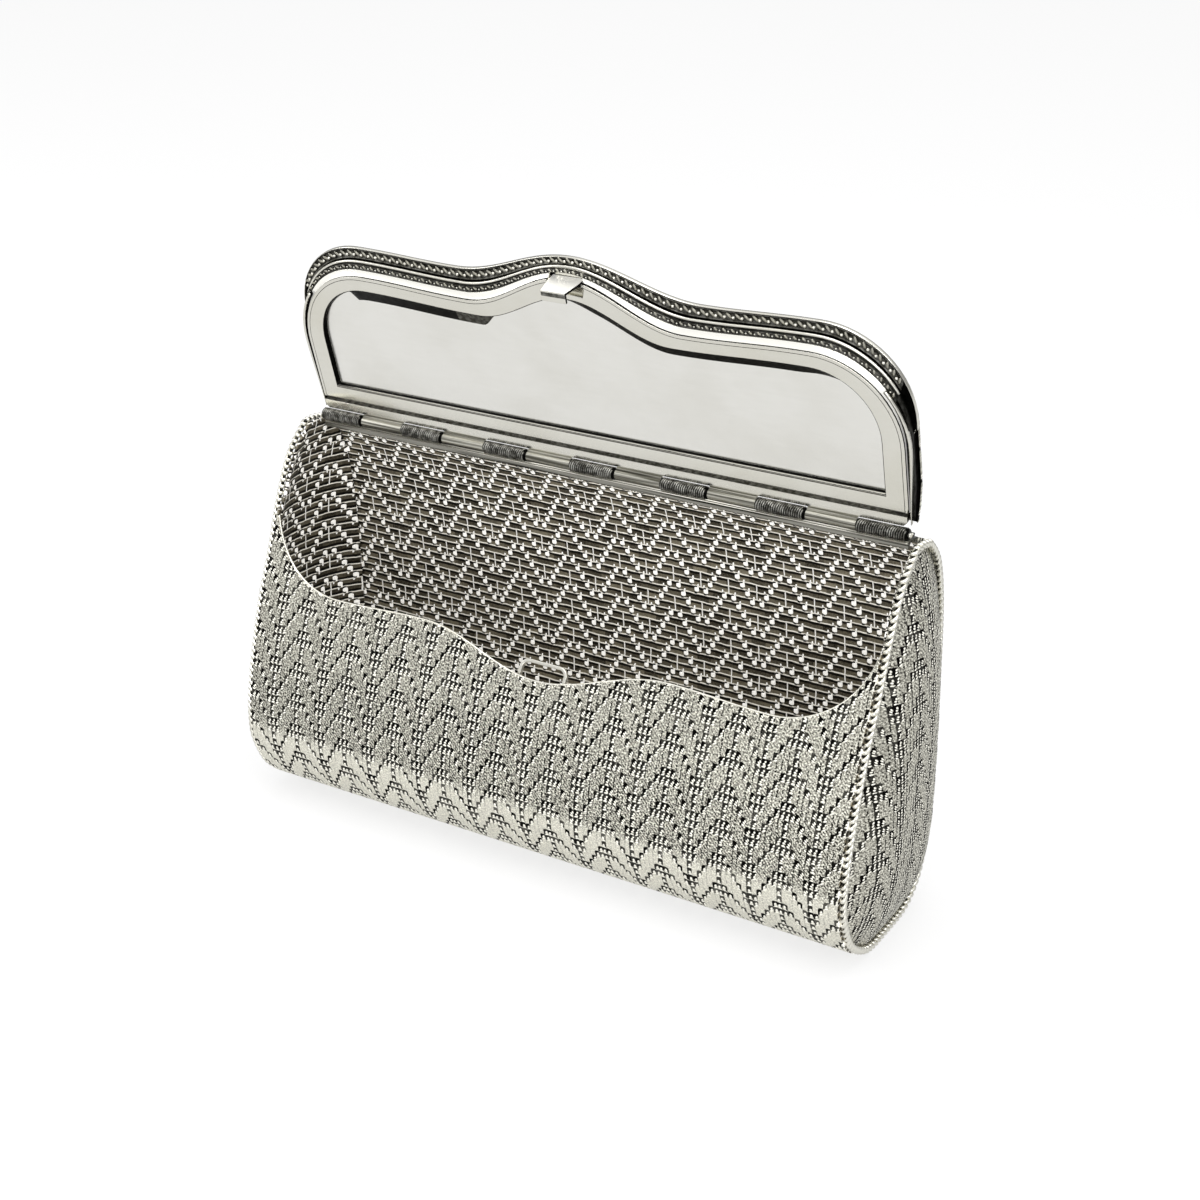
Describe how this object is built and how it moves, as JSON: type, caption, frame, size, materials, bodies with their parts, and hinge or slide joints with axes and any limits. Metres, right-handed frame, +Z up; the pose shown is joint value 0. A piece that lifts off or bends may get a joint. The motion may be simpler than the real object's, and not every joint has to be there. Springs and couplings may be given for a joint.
{
  "type": "minaudiere",
  "caption": "Woven metal evening bag with a soft lofted body, a scalloped mouth and a polished lid on a long knuckle hinge, drawn with the lid open",
  "frame": {"origin": "middle of the bag on the plane it rests on", "axes": "+X along the hinge to the right of someone facing the front, -Y to the front where the mouth opens, +Z up"},
  "size_m": [0.181, 0.0522, 0.1585],
  "materials": {
    "woven_metal": "woven silver-coloured metal strip, bright on the floats and dark in the gaps",
    "gusset_metal": "the same woven metal, on the side gussets",
    "cover_metal": "woven silver-coloured metal on the outside of the lid",
    "seam_metal": "overcast bright wire",
    "wire_metal": "bright drawn wire",
    "rail_metal": "smooth dark-grey metal strip",
    "knuckle_metal": "rolled metal knuckles",
    "pin_metal": "bright steel pin",
    "loop_metal": "polished strip bent into a loop",
    "bar_metal": "polished hinge bar",
    "frame_metal": "polished flat frame with an engraved line",
    "panel_metal": "polished recessed panel",
    "row_metal": "row of small bright beads with dark gaps",
    "wall_metal": "plain polished side wall",
    "rim_metal": "polished outer rim",
    "hook_metal": "polished bent strip",
    "button_metal": "polished push piece",
    "spring_metal": "spring steel"
  },
  "bodies": {
    "purse_body": {"woven_wrap": "woven_metal", "left_gusset": "gusset_metal", "right_gusset": "gusset_metal", "left_seam_cord": "seam_metal", "right_seam_cord": "seam_metal", "back_seam_cord": "seam_metal", "mouth_edge_wire": "wire_metal", "hinge_rail": "rail_metal", "body_knuckles": "knuckle_metal", "hinge_pin": "pin_metal", "catch_loop": "loop_metal", "loop_plate": "woven_metal"},
    "lid": {"lid_knuckles": "knuckle_metal", "lid_hinge_bar": "bar_metal", "lid_frame": "frame_metal", "lid_mirror_panel": "panel_metal", "inner_bead_row": "row_metal", "inner_rim_wire": "wire_metal", "lid_wall": "wall_metal", "lid_rim": "rim_metal", "outer_rim_wire": "wire_metal", "outer_bead_row": "row_metal", "lid_cover": "cover_metal", "catch_spring": "spring_metal", "spring_posts": "spring_metal"},
    "catch": {"catch_hook": "hook_metal", "catch_button": "button_metal"}
  },
  "joints": [
    {"name": "lid_hinge", "type": "hinge", "parent": "purse_body", "child": "lid", "pos_m": [0, 0.0091, 0.1025], "axis": [1, 0, 0], "range_deg": [-35, 134]},
    {"name": "catch_slide", "type": "slide", "parent": "lid", "child": "catch", "axis": [0, -0.2756, 0.9613], "range_m": [0, 0.001], "stiffness_N_per_m": 300, "springref_m": -0.002}
  ]
}
